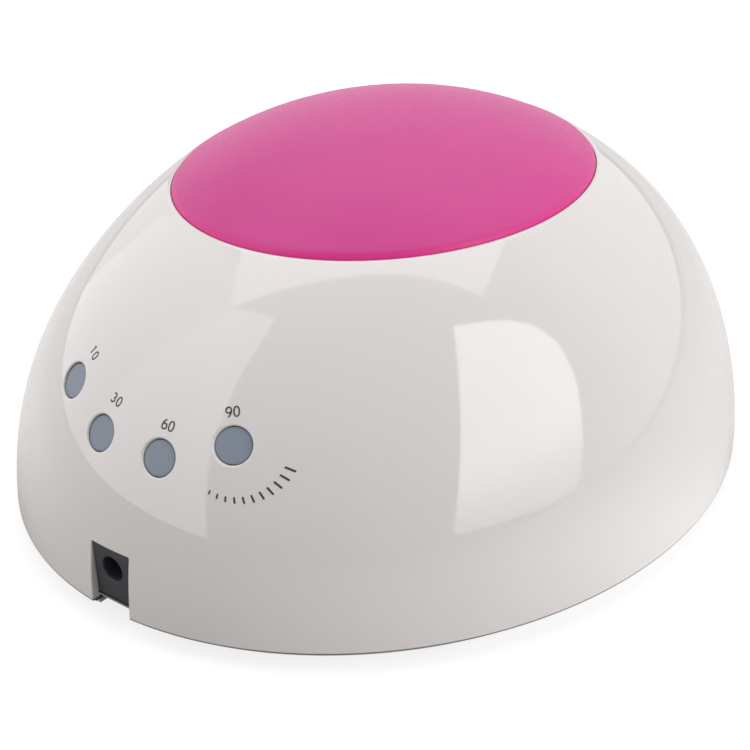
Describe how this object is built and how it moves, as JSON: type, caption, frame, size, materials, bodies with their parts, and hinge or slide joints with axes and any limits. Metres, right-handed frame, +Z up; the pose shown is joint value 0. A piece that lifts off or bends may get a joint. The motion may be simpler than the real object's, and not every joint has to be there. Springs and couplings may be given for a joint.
{
  "type": "uv led nail lamp",
  "caption": "Dome lamp that cures gel nails: a gloss shell with a soft top pad, timer buttons and power socket at the back, a hand opening at the front, and a removable base plate.",
  "frame": {"origin": "on the table under the middle of the dome's outline", "axes": "+Z up; the hand opening faces -Y; the timer buttons and the power socket face +Y; +X is to the left when looking at the back of the lamp"},
  "size_m": [0.183, 0.2024, 0.0929],
  "materials": {
    "shell_white": "high gloss, warm white moulded ABS",
    "pad_pink": "soft satin silicone",
    "button_grey": "satin blue-grey",
    "reflector_silver": "metallised silver, soft mirror",
    "trim_white": "gloss white",
    "ring_charcoal": "fine texture",
    "plate_steel": "silver powder coat",
    "foot_rubber": "matt",
    "screw_steel": "zinc plated",
    "magnet_nickel": "nickel plated",
    "jack_plate_grey": "fine satin",
    "jack_black": "satin",
    "pin_nickel": "nickel plated brass",
    "contact_tin": "tinned",
    "board_green": "solder mask gloss",
    "led_board_white": "white solder mask",
    "led_chip": "phosphor resin",
    "led_lens": "clear moulded resin",
    "chip_black": "epoxy",
    "capacitor_can": "sleeved can",
    "coil_ferrite": "ferrite",
    "socket_ivory": "nylon",
    "switch_black": "nylon",
    "plunger_ivory": "nylon",
    "wire_power": "red and black insulation",
    "wire_led": "red and white insulation",
    "ribbon_grey": "grey insulation",
    "sensor_clear": "clear epoxy",
    "sensor_dark": "dark infrared-pass epoxy"
  },
  "bodies": {
    "base": {"base_plate": "plate_steel", "plate_feet": "foot_rubber"},
    "lamp": {"outer_shell": "shell_white", "top_pad": "pad_pink", "inner_reflector": "reflector_silver", "opening_trim": "trim_white", "bottom_ring": "ring_charcoal", "ring_screws": "screw_steel", "ring_magnets": "magnet_nickel", "jack_plate": "jack_plate_grey", "jack_body": "jack_black", "jack_centre_pin": "pin_nickel", "jack_contacts": "contact_tin", "jack_board": "board_green", "power_wires": "wire_power", "main_board": "board_green", "main_board_screws": "screw_steel", "controller_chip": "chip_black", "driver_transistors": "chip_black", "filter_capacitors": "capacitor_can", "choke_coil": "coil_ferrite", "board_sockets": "socket_ivory", "button_board": "board_green", "button_board_screws": "screw_steel", "switch_cases": "switch_black", "button_ribbon": "ribbon_grey", "led_plate_top": "led_board_white", "led_strip_upper": "led_board_white", "led_strip_lower": "led_board_white", "led_chips_top": "led_chip", "led_chips_upper": "led_chip", "led_chips_lower": "led_chip", "led_lenses_top": "led_lens", "led_lenses_upper": "led_lens", "led_lenses_lower": "led_lens", "led_plate_screws": "screw_steel", "led_wires": "wire_led", "sensor_board": "board_green", "sensor_emitter": "sensor_clear", "sensor_receiver": "sensor_dark"},
    "button_10": {"button_cap_10": "button_grey", "switch_plunger_10": "plunger_ivory"},
    "button_30": {"button_cap_30": "button_grey", "switch_plunger_30": "plunger_ivory"},
    "button_60": {"button_cap_60": "button_grey", "switch_plunger_60": "plunger_ivory"},
    "button_90": {"button_cap_90": "button_grey", "switch_plunger_90": "plunger_ivory"}
  },
  "joints": [
    {"name": "lamp_lift", "type": "slide", "parent": "base", "child": "lamp", "axis": [0, 0, 1], "range_m": [0, 0.12]},
    {"name": "press_10", "type": "slide", "parent": "lamp", "child": "button_10", "axis": [0, -0.866, -0.5], "range_m": [0, 0.0004], "stiffness_N_per_m": 40},
    {"name": "press_30", "type": "slide", "parent": "lamp", "child": "button_30", "axis": [0, -0.866, -0.5], "range_m": [0, 0.0004], "stiffness_N_per_m": 40},
    {"name": "press_60", "type": "slide", "parent": "lamp", "child": "button_60", "axis": [0, -0.866, -0.5], "range_m": [0, 0.0004], "stiffness_N_per_m": 40},
    {"name": "press_90", "type": "slide", "parent": "lamp", "child": "button_90", "axis": [0, -0.866, -0.5], "range_m": [0, 0.0004], "stiffness_N_per_m": 40}
  ]
}
